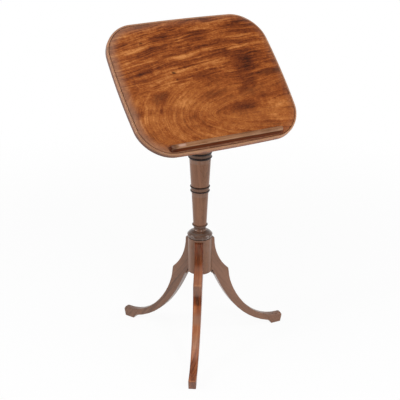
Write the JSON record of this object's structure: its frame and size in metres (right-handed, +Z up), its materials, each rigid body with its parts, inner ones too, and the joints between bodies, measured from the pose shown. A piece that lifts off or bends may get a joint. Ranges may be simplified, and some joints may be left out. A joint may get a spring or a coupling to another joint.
{
  "type": "tilting reading table",
  "caption": "Tripod reading table: dished top with book ledge, tilted by a ratchet strut, on a swivelling block and a pole that slides in a turned column.",
  "frame": {"origin": "middle of the bounding box at floor level, with the table set up for reading as in the picture", "axes": "+Z up, the book ledge runs along X on the side that faces -Y, +Y towards the raised back edge of the top"},
  "size_m": [0.579, 0.5378, 1.0332],
  "materials": {
    "top_mahogany": "figured reddish mahogany, french polished",
    "stand_mahogany": "mahogany, worn semi-gloss polish, darker in the mouldings",
    "dark_mahogany": "dark stained mahogany, semi-gloss",
    "plain_wood": "plain unpolished wood, rubbed smooth",
    "brass": "aged brass, softly tarnished",
    "iron": "dark wrought iron, matt",
    "steel": "dull steel wood screws"
  },
  "bodies": {
    "stand": {"column": "stand_mahogany", "leg_front": "stand_mahogany", "leg_right": "stand_mahogany", "leg_left": "stand_mahogany", "brace_plate": "iron", "brace_screw_front": "steel", "brace_screw_right": "steel", "brace_screw_left": "steel", "brace_screw_centre": "steel", "mouth_bush": "brass", "lock_bush": "brass"},
    "lock": {"lock_thumbscrew": "brass"},
    "pole": {"pole": "plain_wood", "shoulder_washer": "iron", "pocket_washer": "iron", "pintle_key": "dark_mahogany"},
    "head": {"swivel_block": "stand_mahogany", "strut_pin": "brass"},
    "strut": {"strut": "stand_mahogany", "strut_crossbar": "dark_mahogany"},
    "top": {"top_board": "top_mahogany", "bearer_left": "stand_mahogany", "bearer_right": "stand_mahogany", "bearer_screw_left_1": "steel", "bearer_screw_left_2": "steel", "bearer_screw_left_3": "steel", "bearer_screw_right_1": "steel", "bearer_screw_right_2": "steel", "bearer_screw_right_3": "steel", "pivot_pin_left": "iron", "pivot_pin_right": "iron", "ledge_peg_left": "plain_wood", "ledge_peg_right": "plain_wood", "book_ledge": "dark_mahogany"}
  },
  "joints": [
    {"name": "pole_slide", "type": "slide", "parent": "stand", "child": "pole", "axis": [0, 0, 1], "range_m": [-0.15, 0.015]},
    {"name": "head_swivel", "type": "hinge", "parent": "pole", "child": "head", "pos_m": [-0.0165, -0.00973, 0.8464], "axis": [0, 0, 1], "continuous": true},
    {"name": "top_tilt", "type": "hinge", "parent": "head", "child": "top", "pos_m": [-0.0165, -0.02703, 0.8464], "axis": [1, 0, 0], "range_deg": [-46, 12]},
    {"name": "strut_swing", "type": "hinge", "parent": "head", "child": "strut", "pos_m": [-0.0165, 0.04283, 0.82898], "axis": [1, 0, 0], "range_deg": [-92, 24]},
    {"name": "lock_turn", "type": "hinge", "parent": "stand", "child": "lock", "pos_m": [-0.0165, -0.00973, 0.64335], "axis": [0.5577, 0.83, 0], "range_deg": [0, 360]}
  ],
  "couplings": [
    {"joint": "strut_swing", "follows": "top_tilt", "ratio": 2}
  ]
}
